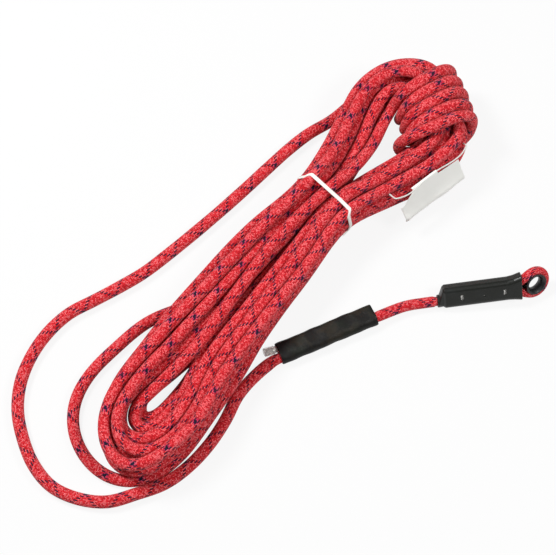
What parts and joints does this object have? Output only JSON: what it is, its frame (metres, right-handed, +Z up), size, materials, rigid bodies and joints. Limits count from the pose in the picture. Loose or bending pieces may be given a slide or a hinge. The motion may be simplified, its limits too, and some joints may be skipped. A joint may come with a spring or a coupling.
{
  "type": "eye-spliced rope",
  "caption": "Hank of braided rope tied at its waist, with an eye spliced round a thimble in a moulded cover at one end and a blank swing tag.",
  "frame": {"origin": "on the floor under the middle of the whole", "axes": "+X along the hank towards its head, +Y across the hank towards the free outer loop, +Z up"},
  "size_m": [0.5652, 0.323, 0.0693],
  "materials": {
    "rope_braid": "tight red braid with dark blue tracer yarns",
    "core_yarn": "undyed core yarns",
    "binding_thread": "waxed white thread",
    "sleeve": "matt black heat-shrunk tube",
    "eye_cover": "smooth black moulding with a soft sheen",
    "thimble": "satin black moulding",
    "clear_cap": "clear shrunk plastic",
    "end_cap": "milky shrunk plastic",
    "tie": "thin white strap",
    "tag_slip": "off-white coated slip, left bare",
    "tag_cord": "thin white twisted cord"
  },
  "bodies": {
    "rope": {"eye_cover": "eye_cover", "eye_rope": "rope_braid", "eye_thimble": "thimble", "far_end_cap": "end_cap", "far_end_core": "core_yarn", "hank_rope": "rope_braid", "head_wraps_rope": "rope_braid", "lock_stitching_1": "binding_thread", "lock_stitching_2": "binding_thread", "lock_stitching_3": "binding_thread", "outer_loop_rope": "rope_braid", "pigtail_rope": "rope_braid", "sleeve_rope_core": "core_yarn", "sleeve_rope_sheath": "rope_braid", "splice_sleeve": "sleeve", "splice_tail": "core_yarn", "tag_cord": "tag_cord", "tail_end_cap": "clear_cap", "tail_whipping_1": "binding_thread", "tail_whipping_2": "binding_thread", "waist_tie": "tie"},
    "tag": {"swing_tag": "tag_slip"}
  },
  "joints": [
    {"name": "tag_swing", "type": "hinge", "parent": "rope", "child": "tag", "pos_m": [0.18181, -0.0118, 0.048], "axis": [-0.9897, 0.1435, 0], "range_deg": [0, 120]}
  ]
}
